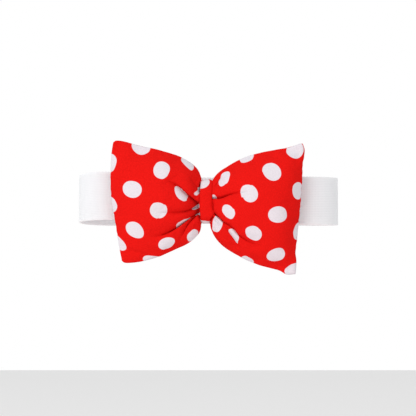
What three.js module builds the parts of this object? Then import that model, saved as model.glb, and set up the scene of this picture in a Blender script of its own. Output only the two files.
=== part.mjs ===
// A pre-tied padded bow tie on a looped elastic neck band, in millimetres.
// +X is the wearer's left, -Y is the front of the bow, +Z is up. The origin is the middle of the
// neck opening, at half the height of the band.

import * as THREE from "three";

// ---------------------------------------------------------------- driving dimensions

const GAP = 0.3; // air between pieces that touch on the real object

const BAND_WIDTH = 25;
const BAND_THICK = 1.2;
const LOOP_DEPTH = 34; // front run to back run, centre to centre
const RUN_HALF = 50.6; // half length of the straight front and back runs
const JOIN_HALF = 7; // half length of the sewn overlap at the nape
const FRONT_RISE = 1.3; // the front run stands this much higher at one end and lower at the other
const BACK_ARCH = 1.2; // the middle of the back run stands this much above its ends

const SQUEEZE_HEIGHT = 17.6; // height of the band where the knot pinches it
const SQUEEZE_HALF = 12; // half length of the fully pinched stretch, which the knot slides along
const SQUEEZE_END = 26; // the band is flat again from here outwards
const SQUEEZE_DEPTH = 2.5; // how far its two curls stand back

const KNOT_X = -1.1; // the bow has been pushed a little off the middle of the loop
const KNOT_Z = -2.3; // height of the middle of the bow
const KNOT_WIDTH = 6.4;
const KNOT_HEIGHT = 22.4;
const WRAP_THICK = 1.4; // the knot's fabric, folded to four layers
const WRAP_LAP = 6; // overlap of its sewn ends at the back

const WAIST_Y = -23; // middle of the gathered waist, which the wings fold about
const WAIST_HALF_LENGTH = 4.9;
const WAIST_HALF_DEPTH = 3.5;
const WAIST_HALF_HEIGHT = 7.9;
const WAIST_PLEATS = 11;
const THREAD = 0.6; // gathering thread
const FINE_THREAD = 0.5; // sewing thread

const CLOTH = 0.8; // panel with its seam allowance
const SEAM_Y = -26; // depth of the wing seams, away from the waist
const LEAN = 0.08; // the wings lean forward at the top: depth per height
const FRONT_CROWN = 10.4;
const BACK_CROWN = 5.4;

const frontRunY = -LOOP_DEPTH / 2;
const backRunY = LOOP_DEPTH / 2;

// Outlines of the two wings, seen from the front: x and z from the middle of the knot. Each runs
// from the knot outwards, and the outer edge runs from its upper corner to its lower corner.
const LEFT_WING = {
  name: "left",
  top: [[-3.9, 14.6], [-7.3, 19.4], [-13, 22.8], [-24, 26.1], [-34, 28.4], [-43, 30.6], [-47.4, 30.6]],
  bottom: [[-3.9, -14.6], [-9.3, -21.2], [-16, -24.6], [-24, -27.8], [-32, -30.2], [-39, -31.2], [-43, -31]],
  outer: [[-47.4, 30.6], [-48.6, 20], [-48.5, 6], [-46.6, -7], [-44.6, -20], [-43, -31]],
  mouth: -7.6,
};
const RIGHT_WING = {
  name: "right",
  top: [[3.9, 14.2], [7.2, 17.8], [14.6, 21.9], [27.4, 25.4], [38, 27.2], [48.6, 29.4]],
  bottom: [[3.9, -15.6], [8, -22.2], [13.6, -26], [26, -31.6], [36, -35], [45, -37.4]],
  outer: [[48.6, 29.4], [49.4, 20], [48.8, 6], [47.3, -9], [45.7, -25], [45, -37.4]],
  mouth: 7.6,
};

// ---------------------------------------------------------------- materials

const cloth = (color, roughness) => new THREE.MeshStandardMaterial({ color, roughness, metalness: 0 });
const DOTTED_COTTON = cloth(0xe0201a, 0.85);
const WHITE_ELASTIC = cloth(0xf2f2f4, 0.8);
const POLYESTER_FILL = cloth(0xf6f4ee, 1);
const RED_THREAD = cloth(0xc8140f, 0.6);
const WHITE_THREAD = cloth(0xf7f7f7, 0.6);

// ---------------------------------------------------------------- solids from sheets and curves

// A closed solid between two grids of points of the same size, joined along their four borders.
function sheetSolid(near, far) {
  const rows = near.length;
  const columns = near[0].length;
  const at = (side, i, j) => (side * rows + i) * columns + j;
  const index = [];
  const quad = (a, b, c, d) => index.push(a, b, c, a, c, d);
  for (let i = 0; i + 1 < rows; i++)
    for (let j = 0; j + 1 < columns; j++) {
      quad(at(0, i, j), at(0, i + 1, j), at(0, i + 1, j + 1), at(0, i, j + 1));
      quad(at(1, i, j), at(1, i, j + 1), at(1, i + 1, j + 1), at(1, i + 1, j));
    }
  for (let i = 0; i + 1 < rows; i++) {
    quad(at(0, i, 0), at(1, i, 0), at(1, i + 1, 0), at(0, i + 1, 0));
    const last = columns - 1;
    quad(at(0, i, last), at(0, i + 1, last), at(1, i + 1, last), at(1, i, last));
  }
  for (let j = 0; j + 1 < columns; j++) {
    quad(at(0, 0, j), at(0, 0, j + 1), at(1, 0, j + 1), at(1, 0, j));
    const last = rows - 1;
    quad(at(0, last, j), at(1, last, j), at(1, last, j + 1), at(0, last, j + 1));
  }
  const points = [...near.flat(), ...far.flat()];
  const geometry = new THREE.BufferGeometry().setFromPoints(points).setIndex(facingOut(points, index));
  geometry.computeVertexNormals();
  return geometry;
}

// The same triangles, turned round if they enclose a negative volume.
function facingOut(points, index) {
  let volume = 0;
  for (let i = 0; i < index.length; i += 3) {
    const [a, b, c] = [points[index[i]], points[index[i + 1]], points[index[i + 2]]];
    volume += a.dot(new THREE.Vector3().crossVectors(b, c));
  }
  return volume < 0 ? index.slice().reverse() : index;
}

// A thread of round section along a smooth curve through the points.
function thread(points, diameter, steps) {
  const section = new THREE.Shape().absarc(0, 0, diameter / 2, 0, 2 * Math.PI);
  const path = new THREE.CatmullRomCurve3(points, false, "centripetal");
  return new THREE.ExtrudeGeometry(section, { steps, extrudePath: path, curveSegments: 3 });
}

// The outline of a rectangle with round corners, as a path that starts on +u and turns to +v.
function roundedRectangle(halfU, halfV, radius) {
  const u = halfU - radius;
  const v = halfV - radius;
  const quarter = Math.PI / 2;
  return new THREE.Path()
    .moveTo(halfU, 0)
    .lineTo(halfU, v)
    .absarc(u, v, radius, 0, quarter)
    .lineTo(-u, halfV)
    .absarc(-u, v, radius, quarter, 2 * quarter)
    .lineTo(-halfU, -v)
    .absarc(-u, -v, radius, 2 * quarter, 3 * quarter)
    .lineTo(u, -halfV)
    .absarc(u, -v, radius, 3 * quarter, 4 * quarter)
    .lineTo(halfU, 0);
}

const smooth = (t) => THREE.MathUtils.smoothstep(t, 0, 1);
const steps = (count) => Array.from({ length: count + 1 }, (_, i) => i / count);

// ---------------------------------------------------------------- elastic neck band

// Centre line of the strip in plan: once round the loop, with its last stretch outside its first.
function bandCentreLine() {
  const lapY = backRunY + BAND_THICK + GAP;
  const radius = LOOP_DEPTH / 2;
  const line = [];
  for (const x of [-JOIN_HALF, 0, 16, 32, RUN_HALF]) line.push([x, backRunY]);
  for (const t of steps(12).slice(1)) {
    const turn = Math.PI / 2 - t * Math.PI;
    line.push([RUN_HALF + radius * Math.cos(turn), radius * Math.sin(turn)]);
  }
  line.push([37, frontRunY]);
  for (const x of [26, 23, 20, 17, 14.5, 12, 7, 0, -7, -12, -14.5, -17, -20, -23, -26])
    line.push([KNOT_X + x, frontRunY]);
  line.push([-37, frontRunY], [-RUN_HALF, frontRunY]);
  for (const t of steps(12).slice(1)) {
    const turn = -Math.PI / 2 - t * Math.PI;
    line.push([-RUN_HALF + radius * Math.cos(turn), radius * Math.sin(turn)]);
  }
  line.push([-32, backRunY], [-20, backRunY]);
  for (const t of steps(4).slice(1)) line.push([-20 + 11 * t, backRunY + (lapY - backRunY) * smooth(t)]);
  line.push([JOIN_HALF, lapY]);
  return line;
}

// How much of the knot's pinch the band has at this point of the loop, from 0 to 1.
function pinchAt(x, y) {
  if (y > frontRunY + 0.01) return 0;
  return 1 - smooth((Math.abs(x - KNOT_X) - SQUEEZE_HALF) / (SQUEEZE_END - SQUEEZE_HALF));
}

// The front run slopes a little, apart from its pinched stretch, and the back run arches up.
function riseAt(x, y) {
  const towardsFront = THREE.MathUtils.clamp((backRunY - y) / LOOP_DEPTH, 0, 1);
  const fromKnot = x - KNOT_X;
  const away = Math.max(0, Math.abs(fromKnot) - SQUEEZE_HALF) / (RUN_HALF - SQUEEZE_HALF);
  const slope = -Math.sign(fromKnot) * FRONT_RISE * Math.min(1, away);
  const arch = BACK_ARCH * Math.max(0, 1 - (x / RUN_HALF) ** 2);
  return slope * towardsFront + arch * (1 - towardsFront);
}

function elasticBand() {
  const line = bandCentreLine();
  const inside = [];
  const outside = [];
  line.forEach(([x, y], i) => {
    const [px, py] = line[Math.max(0, i - 1)];
    const [nx, ny] = line[Math.min(line.length - 1, i + 1)];
    const across = new THREE.Vector2(ny - py, px - nx).normalize();
    const pinch = pinchAt(x, y);
    const height = THREE.MathUtils.lerp(BAND_WIDTH, SQUEEZE_HEIGHT, pinch);
    const middle = riseAt(x, y) + KNOT_Z * pinch;
    const nearRow = [];
    const farRow = [];
    for (const t of steps(8)) {
      const curl = pinch * SQUEEZE_DEPTH * Math.abs(Math.sin(2 * Math.PI * t));
      const z = middle + height * (t - 0.5);
      const place = (side) =>
        new THREE.Vector3(x + (across.x * side * BAND_THICK) / 2, y + curl + (across.y * side * BAND_THICK) / 2, z);
      nearRow.push(place(1));
      farRow.push(place(-1));
    }
    outside.push(nearRow);
    inside.push(farRow);
  });
  return sheetSolid(outside, inside);
}

// Two rows of zigzag sewn through the overlap with one thread.
function bandJoinStitching() {
  const y = backRunY + BAND_THICK * 1.5 + GAP + GAP + FINE_THREAD / 2;
  const rowX = 4;
  const swing = 1.3;
  const reach = BAND_WIDTH / 2 - 2;
  const stitches = 12;
  const row = (x, from, to) =>
    steps(stitches).map((t, i) => {
      const z = BACK_ARCH + from + (to - from) * t;
      return new THREE.Vector3(x + swing * (i % 2 ? 1 : -1), y, z);
    });
  return thread([...row(-rowX, reach, -reach), ...row(rowX, -reach, reach)], FINE_THREAD, 96);
}

// ---------------------------------------------------------------- knot

const bandRear = frontRunY + BAND_THICK / 2 + SQUEEZE_DEPTH;
const windowFront = WAIST_Y - WAIST_HALF_DEPTH - THREAD - 2 * GAP;
const windowRear = bandRear + GAP;
const wrapMiddleY = (windowFront + windowRear) / 2;
const wrapHalfDepth = (windowRear - windowFront) / 2 + WRAP_THICK;

// One strip of folded fabric round the waist and the band, lapped and sewn at the back.
function knotWrap() {
  const halfU = wrapHalfDepth - WRAP_THICK / 2;
  const halfV = KNOT_HEIGHT / 2 - WRAP_THICK / 2;
  const ring = roundedRectangle(halfU, halfV, 5.2);
  const around = ring.getLength();
  const lapShare = WRAP_LAP / around;
  const count = 40;
  const inner = [];
  const outer = [];
  for (const t of steps(count)) {
    const share = -lapShare / 2 + t * (1 + lapShare);
    const turn = ((share % 1) + 1) % 1;
    const point = ring.getPointAt(turn);
    const tangent = ring.getTangentAt(turn);
    const out = new THREE.Vector2(tangent.y, -tangent.x);
    const lift = (WRAP_THICK + GAP) * smooth((share - (1 - 3 * lapShare)) / (2 * lapShare));
    const row = (level, halfWidth) =>
      [-halfWidth, halfWidth].map(
        (x) =>
          new THREE.Vector3(
            x,
            wrapMiddleY + point.x + out.x * (lift + level),
            point.y + out.y * (lift + level),
          ),
      );
    const narrow = KNOT_WIDTH / 2 - 0.35;
    const wide = KNOT_WIDTH / 2;
    inner.push(row(-WRAP_THICK / 2, wide));
    outer.push([
      row(WRAP_THICK / 2 - 0.35, wide)[0],
      ...row(WRAP_THICK / 2, narrow),
      row(WRAP_THICK / 2 - 0.35, wide)[1],
    ]);
  }
  const innerRows = inner.map(([a, b]) => [0, 1 / 3, 2 / 3, 1].map((t) => a.clone().lerp(b, t)));
  return sheetSolid(outer, innerRows);
}

const wrapBackY = wrapMiddleY + wrapHalfDepth + WRAP_THICK + GAP;

// Slip stitches along the free end of the lap.
function wrapClosingStitches() {
  const count = 6;
  const reach = KNOT_WIDTH / 2 - 0.6;
  const points = steps(count).map(
    (t, i) =>
      new THREE.Vector3(-reach + 2 * reach * t, wrapBackY + GAP + FINE_THREAD / 2, 1.6 + (i % 2 ? 0.7 : -0.7)),
  );
  return thread(points, FINE_THREAD, 30);
}

// Both panels pleated together into the narrow waist that the knot covers.
function waistGathers() {
  const outline = roundedRectangle(WAIST_HALF_DEPTH, WAIST_HALF_HEIGHT, 3);
  const pleatDepth = 0.7;
  const perPleat = 4;
  const count = WAIST_PLEATS * perPleat;
  const shape = new THREE.Shape(
    steps(count)
      .slice(0, -1)
      .map((t) => {
        const point = outline.getPointAt(t);
        const fold = (pleatDepth / 2) * (1 - Math.cos(2 * Math.PI * WAIST_PLEATS * t));
        return point.clone().multiplyScalar(1 - fold / point.length());
      }),
  );
  const geometry = new THREE.ExtrudeGeometry(shape, { depth: 2 * WAIST_HALF_LENGTH, bevelEnabled: false });
  // The section's axes become Y and Z, and it runs along X.
  const toRow = new THREE.Matrix4().makeBasis(
    new THREE.Vector3(0, 1, 0),
    new THREE.Vector3(0, 0, 1),
    new THREE.Vector3(1, 0, 0),
  );
  return geometry.applyMatrix4(toRow).translate(-WAIST_HALF_LENGTH, WAIST_Y, 0);
}

// Turns of thread that hold the pleats.
function gatherThread() {
  const away = GAP + THREAD / 2;
  const ring = roundedRectangle(WAIST_HALF_DEPTH + away, WAIST_HALF_HEIGHT + away, 3 + away);
  const turns = 3;
  const pitch = THREAD + GAP;
  const perTurn = 20;
  const points = steps(turns * perTurn).map((t) => {
    const point = ring.getPointAt((t * turns) % 1);
    return new THREE.Vector3(pitch * turns * (t - 0.5), WAIST_Y + point.x, point.y);
  });
  return thread(points, THREAD, turns * 24);
}

// ---------------------------------------------------------------- wings

// Places on a wing are (u, v): u from the mouth at the knot (0) to the outer edge (1), and v from
// the bottom seam (0) to the top seam (1). The nodes crowd towards the seams.
const U_NODES = [0, 0.06, 0.14, 0.25, 0.38, 0.52, 0.66, 0.78, 0.87, 0.94, 1];
const V_NODES = [0, 0.06, 0.13, 0.23, 0.36, 0.5, 0.64, 0.77, 0.87, 0.94, 1];

// The flat outline's inside, as a Coons patch between its four edges.
function wingPlan(wing) {
  const curve = (points) => new THREE.SplineCurve(points.map(([x, z]) => new THREE.Vector2(x, z)));
  const top = curve(wing.top);
  const bottom = curve(wing.bottom);
  const outer = curve(wing.outer);
  const mouthTop = top.getPoint(0);
  const mouthBottom = bottom.getPoint(0);
  const mouthMiddle = new THREE.Vector2(wing.mouth, (mouthTop.y + mouthBottom.y) / 2);
  const mouth = new THREE.QuadraticBezierCurve(mouthBottom, mouthMiddle, mouthTop);
  const corners = [mouthBottom, mouthTop, bottom.getPoint(1), top.getPoint(1)];
  return (u, v) => {
    const place = new THREE.Vector2()
      .addScaledVector(bottom.getPointAt(u), 1 - v)
      .addScaledVector(top.getPointAt(u), v)
      .addScaledVector(mouth.getPoint(v), 1 - u)
      .addScaledVector(outer.getPointAt(1 - v), u);
    place.addScaledVector(corners[0], -(1 - u) * (1 - v)).addScaledVector(corners[1], -(1 - u) * v);
    return place.addScaledVector(corners[2], -u * (1 - v)).addScaledVector(corners[3], -u * v);
  };
}

// Share of the full crown at a place on the wing: none at the three seams, a little at the mouth.
function crown(u, v) {
  const mouthShare = 0.34;
  const along = (mouthShare + (1 - mouthShare) * smooth(u / 0.42)) * Math.pow(1 - Math.pow(u, 3), 0.7);
  const across = Math.pow(4 * v * (1 - v), 0.6);
  if (along < 1e-6 || across < 1e-6) return 0;
  return 1 / Math.sqrt(1 / along ** 2 + 1 / across ** 2 - 1);
}

// Depth of the seam's surface at a place on a wing.
const seamDepth = (u, z) => THREE.MathUtils.lerp(WAIST_Y, SEAM_Y - LEAN * z, smooth(u / 0.5));

function wingGrid(wing, uNodes, vNodes, level) {
  const plan = wingPlan(wing);
  return uNodes.map((u) =>
    vNodes.map((v) => {
      const { x, y: z } = plan(u, v);
      return new THREE.Vector3(x, seamDepth(u, z) + level(crown(u, v)), z);
    }),
  );
}

function frontPanel(wing) {
  const inner = (share) => -GAP / 2 - FRONT_CROWN * share;
  return sheetSolid(
    wingGrid(wing, U_NODES, V_NODES, (share) => inner(share) - CLOTH),
    wingGrid(wing, U_NODES, V_NODES, inner),
  );
}

function backPanel(wing) {
  const inner = (share) => GAP / 2 + BACK_CROWN * share;
  return sheetSolid(
    wingGrid(wing, U_NODES, V_NODES, (share) => inner(share) + CLOTH),
    wingGrid(wing, U_NODES, V_NODES, inner),
  );
}

// Loose fibre, which fills the wing up to the seam allowance.
function filling(wing) {
  const uNodes = U_NODES.slice(1, -2);
  const vNodes = V_NODES.slice(2, -2);
  const ease = 0.5;
  return sheetSolid(
    wingGrid(wing, uNodes, vNodes, (share) => -GAP / 2 - FRONT_CROWN * share + ease),
    wingGrid(wing, uNodes, vNodes, (share) => GAP / 2 + BACK_CROWN * share - ease),
  );
}

// The thread of the seam round the three sewn edges, just inside them.
function seamThread(wing) {
  const plan = wingPlan(wing);
  const edge = [
    [0.03, 0.95], [0.3, 0.955], [0.6, 0.955], [0.84, 0.95], [0.935, 0.91], [0.965, 0.8], [0.965, 0.5],
    [0.965, 0.2], [0.935, 0.09], [0.84, 0.05], [0.6, 0.045], [0.3, 0.045], [0.03, 0.05],
  ];
  const points = edge.map(([u, v]) => {
    const { x, y: z } = plan(u, v);
    return new THREE.Vector3(x, seamDepth(u, z), z);
  });
  return thread(points, FINE_THREAD, 64);
}

// ---------------------------------------------------------------- assembly

function piece(name, geometry, material) {
  const mesh = new THREE.Mesh(geometry, material);
  mesh.name = name;
  return mesh;
}

const neckBand = new THREE.Group();
neckBand.add(
  piece("elastic_band", elasticBand(), WHITE_ELASTIC),
  piece("band_join_stitching", bandJoinStitching(), WHITE_THREAD),
);

const bow = new THREE.Group();
bow.position.set(KNOT_X, 0, KNOT_Z);
bow.add(
  piece("knot_wrap", knotWrap(), DOTTED_COTTON),
  piece("wrap_closing_stitches", wrapClosingStitches(), RED_THREAD),
  piece("waist_gathers", waistGathers(), DOTTED_COTTON),
  piece("gather_thread", gatherThread(), RED_THREAD),
);
for (const wing of [LEFT_WING, RIGHT_WING])
  bow.add(
    piece(`${wing.name}_front_panel`, frontPanel(wing), DOTTED_COTTON),
    piece(`${wing.name}_back_panel`, backPanel(wing), DOTTED_COTTON),
    piece(`${wing.name}_filling`, filling(wing), POLYESTER_FILL),
    piece(`${wing.name}_seam_thread`, seamThread(wing), RED_THREAD),
  );

const bowTie = new THREE.Group();
bowTie.add(neckBand, bow);

export default bowTie;
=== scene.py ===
"""The looks of a padded bow tie in dotted red cotton on a looped white elastic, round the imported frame.

Lengths are in millimetres until a mesh is made. Places on the bow are measured from the middle of its
waist, seen from the front: x to the right, z up, and y away from the viewer. The studio is in metres.
"""

import math

import bpy
import numpy as np
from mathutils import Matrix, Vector


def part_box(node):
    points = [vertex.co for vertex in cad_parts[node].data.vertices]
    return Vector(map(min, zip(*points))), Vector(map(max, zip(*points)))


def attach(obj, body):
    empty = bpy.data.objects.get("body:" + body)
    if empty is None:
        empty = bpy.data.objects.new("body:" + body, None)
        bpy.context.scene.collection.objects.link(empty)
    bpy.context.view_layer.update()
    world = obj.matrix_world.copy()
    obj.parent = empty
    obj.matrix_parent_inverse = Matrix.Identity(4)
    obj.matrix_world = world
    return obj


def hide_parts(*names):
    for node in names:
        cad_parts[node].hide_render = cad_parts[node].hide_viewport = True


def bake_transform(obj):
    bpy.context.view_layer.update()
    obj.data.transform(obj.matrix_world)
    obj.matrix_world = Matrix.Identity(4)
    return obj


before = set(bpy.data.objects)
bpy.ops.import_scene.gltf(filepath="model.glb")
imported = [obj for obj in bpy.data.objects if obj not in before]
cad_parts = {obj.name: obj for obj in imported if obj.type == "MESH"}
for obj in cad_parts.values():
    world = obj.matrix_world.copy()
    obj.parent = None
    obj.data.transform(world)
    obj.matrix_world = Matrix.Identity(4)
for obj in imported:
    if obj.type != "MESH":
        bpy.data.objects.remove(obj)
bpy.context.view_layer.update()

MM = 0.001


def middle(node):
    low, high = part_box(node)
    return np.array((low + high) / 2) / MM


WAIST = middle("waist_gathers")
WRAP_LOW, WRAP_HIGH = (np.array(corner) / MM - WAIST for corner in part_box("knot_wrap"))
BAND_HIGH = np.array(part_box("elastic_band")[1]) / MM

# ------------------------------------------------------------------ sizes

GATHERS_HALF = 2.1
GATHERS_DEPTH, GATHERS_HEIGHT = 2.9, 7.2  # from its middle to its surface
GATHERS_CORNER = 2.6
PLEATS = 11
PLEAT = 0.35  # half their depth
WRAP_THICK = 1.3
WRAP_BACK_HALF = 3.2
WRAP_SLIMMER = 1.0  # half its depth is this much less than the CAD piece's
WRAP_SHORTER = 0.3  # and half its height
WRAP_FORWARD = 0.9  # its middle is this far in front of the CAD piece's
WRAP_UP = 0.3  # and this far above the waist's
WRAP_CORNER = 5.6  # seen from the side
WRAP_ROLL = 0.5  # its edges roll back by this much
WRAP_HEIGHTS = [-11.2, -9.8, -8.0, -6.3, -4.2, -1.5, 3, 8, 11.2]  # where the front's edges are given
WRAP_LEFT = [-2.9, -3.0, -3.1, -3.2, -3.35, -3.6, -3.5, -3.0, -2.8]
WRAP_RIGHT = [2.1, 2.4, 3.6, 4.4, 3.5, 3.0, 3.1, 3.3, 3.3]

CLOTH = 0.5
EDGE_GAP = 0.01  # between the front and the back cloth, half of it, where they are sewn together
MOUTH_DEPTH = 3.2  # the wings' cloth stands this far off the waist's middle under the knot
MOUTH_REACH = 1.4  # it comes out to the height of the wing's mouth over this distance
WAIST_REACH = 14  # and the ridge at the waist broadens into the wing over this distance
FALL_BELOW = 2.7  # how abruptly the stuffed cloth falls to the lower seam
FALL_ABOVE = 2.1  # and to the upper one
LIP = 0.5  # the seams' edges are as thick as this
LIP_REACH = 1.1
LIP_START = 6  # they grow to that over this distance from the knot
RIDGE_POWER = 0.5  # how sharp the ridge at the waist is
RIDGE_BROADENS = 0.45  # and what is added to that in the wing
SEAM_FORWARD = 3.0  # the wings' seams lie this far in front of the waist
SEAM_START = 3  # they leave the waist's middle at this distance from it
SEAM_REACH = 20  # and come forward over this one
LEAN = 0.08  # the wings lean forward at the top
FRONT_CROWN = 10.6
BACK_CROWN = 5.7
BACK = {"rise": 15, "roll": 6}  # the shape of the backs, as the wings' own entries below

FOLD_END = 1.2  # a fold dies away past its ends over about this distance
FOLD_SWELLS = (0.3, 0.12)  # beside a fold, on the hanging and on the other side, shares of its depth
FOLD_TURN = 0.35  # the print jumps across a fold's line over about this distance
STEP_REACH = 6  # the cloth that goes in under a fold rises again over this distance
FOLD_REACH = 14  # the print is shifted by the cloth that a fold hides, less and less over this distance
FOLD_CLEAR = 4  # the folds fade out within this distance of the seams
FOLD_FLOOR = 0.6  # the deepest folds leave the cloth this far off the seam's surface
CREASED = 1.2  # a place this deep in a fold stays where it is while the wing is stuffed
WRINKLE = 0.35  # the height of the front's gentle unevenness
BACK_WRINKLE = 0.25
WRINKLE_CLEAR = 5
GATHER = 0.5  # the depth of the gathers on the back
GATHER_COUNT = 13  # as many as a full turn round the waist would hold
GATHER_REACH = 11
PUCKER = 0.08  # the stitches draw in the outer edges by this much
PUCKER_PITCH = 4.3
PUCKER_SWAY = 1.5  # how uneven their spacing is
PUCKER_DRIFT = 3  # how gradually the spacing varies
PUCKER_FADE = 40  # the higher, the narrower the strip along the edge

BAND_THICK = 1.2
BAND_WIDTH = 25
BAND_RIB = 0.03
BAND_SCALLOP = 0.06
LOOP_DEPTH = 34  # front run to back run, centre to centre
RUN_HALF = BAND_HIGH[0] - (LOOP_DEPTH + BAND_THICK) / 2
JOIN_HALF = 7
LAP_Y = BAND_HIGH[1] - BAND_THICK / 2
LAP_START, LAP_END = -20, -9  # where the strip's outer end steps out over its inner end
FRONT_RISE = 1.3
BACK_ARCH = 1.2
PINCH_HALF = 12
PINCH_END = 26
PINCH_HEIGHT = 17.6
PINCH_DEPTH = 2.5

DOT_RADIUS = 4.4
DOT_COLUMN = 12.9  # between neighbouring columns of dots, which are staggered
DOT_ROW = 20.9  # between the dots of one column
PRINT_STIFF = 5  # how far the print may pass a listed place by, to stay smooth
BACK_PRINT = (4.0, 7.0)  # the print on the backs is shifted by this
WRAP_DOT = (-2.7, 10.6)  # the dot at the top of the wrap: across it, and up along it from its middle
WRAP_SKEW = 0.056

STUFF_GRID = (46, 62)  # the coarse cloth that is simulated
STUFF_SCALE = 10  # it is simulated this much larger, at the size of a cushion
STUFF_STEPS = 20
STUFF_CAP = 1.0  # the furthest that a place moves
STUFF_SETTINGS = {
    "quality": 6,
    "mass": 0.3,
    "tension_stiffness": 25,
    "compression_stiffness": 25,
    "shear_stiffness": 10,
    "bending_stiffness": 1.5,
    "shrink_min": -0.03,  # the cloth is cut this much larger than the space it fills
    "use_pressure": True,
    "uniform_pressure_force": 4,
}

FRONT_GRID = (130, 190)  # steps outwards and across
BACK_GRID = (70, 100)
FILLING_GRID = (60, 70)
CROWDING = 0.35  # the steps outwards are closer together at the knot
HELD_SHARE = 0.25  # the back is held over this share of its length from the knot
FIBRE_CLEAR = 1.6  # from the filling to the outside of the cloth
FIBRE_LUMP = 0.5
FIBRE_THINNEST = 0.15

# ------------------------------------------------------------------ curves and grids


def smooth(t):
    t = np.clip(t, 0, 1)
    return t * t * (3 - 2 * t)


def smooth_curve(points, shares):
    """The places at these shares of the length of a smooth curve through the points."""
    p = np.array(points, float)
    knots = np.concatenate([[0], np.cumsum(np.linalg.norm(np.diff(p, axis=0), axis=1) ** 0.5)])
    slopes = np.gradient(p, knots, axis=0)
    fine = np.linspace(0, knots[-1], 60 * len(p))
    k = np.clip(np.searchsorted(knots, fine, side="right") - 1, 0, len(knots) - 2)
    span = (knots[k + 1] - knots[k])[:, None]
    t = (fine - knots[k])[:, None] / span
    ease = t * t * (3 - 2 * t)
    leave = span * slopes[k] * t * (1 - t) ** 2
    arrive = span * slopes[k + 1] * t * t * (t - 1)
    curve = p[k] * (1 - ease) + p[k + 1] * ease + leave + arrive
    length = np.concatenate([[0], np.cumsum(np.linalg.norm(np.diff(curve, axis=0), axis=1))])
    wanted = np.asarray(shares) * length[-1]
    return np.stack([np.interp(wanted, length, axis) for axis in curve.T], -1)


def ripple(a, b, wavelength, seed):
    """A gentle uneven pattern over two coordinates, from about -1 to 1."""
    rng = np.random.default_rng(seed)
    total = 0
    for _ in range(7):
        angle, phase = rng.uniform(0, 2 * math.pi, 2)
        pitch = wavelength * rng.uniform(0.7, 1.5)
        along = a * math.cos(angle) + b * math.sin(angle)
        total = total + np.sin(along * 2 * math.pi / pitch + phase)
    return total / 4


def new_object(name, points, faces, cloth=None):
    """A smooth-shaded mesh from points in mm, with the cloth's own coordinates as a UV map."""
    mesh = bpy.data.meshes.new(name)
    mesh.from_pydata((np.asarray(points) * MM).tolist(), [], faces)
    if cloth is not None:
        layer = mesh.uv_layers.new(name="cloth")
        corners = np.zeros(len(mesh.loops), int)
        mesh.loops.foreach_get("vertex_index", corners)
        layer.data.foreach_set("uv", np.asarray(cloth)[corners].ravel())
    mesh.validate()
    mesh.shade_smooth()
    obj = bpy.data.objects.new(name, mesh)
    bpy.context.scene.collection.objects.link(obj)
    return obj


def shell_faces(rows, columns, flip=False):
    """The faces of a closed shell: an outer grid, then an inner grid, joined along their borders."""
    a = np.arange(rows * columns).reshape(rows, columns)
    b = a + rows * columns
    quads = [np.stack([a[:-1, :-1], a[1:, :-1], a[1:, 1:], a[:-1, 1:]], -1).reshape(-1, 4)]
    quads.append(np.stack([b[:-1, :-1], b[:-1, 1:], b[1:, 1:], b[1:, :-1]], -1).reshape(-1, 4))
    border = np.concatenate([a[0, :], a[1:, -1], a[-1, -2::-1], a[-2:0:-1, 0]])
    after = np.roll(border, -1)
    lower = rows * columns
    quads.append(np.stack([border, after, after + lower, border + lower], -1))
    faces = np.concatenate(quads)
    return (faces[:, ::-1] if flip else faces).tolist()


def closed_bar(rings):
    """The faces of a bar through rings of points, with its two ends closed."""
    count, around = rings
    index = np.arange(count * around).reshape(count, around)
    nxt = np.roll(index, -1, axis=1)
    faces = np.stack([index[:-1], nxt[:-1], nxt[1:], index[1:]], -1).reshape(-1, 4).tolist()
    return faces + [index[0][::-1].tolist(), index[-1].tolist()]


# ------------------------------------------------------------------ the wings' outlines and folds

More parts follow.
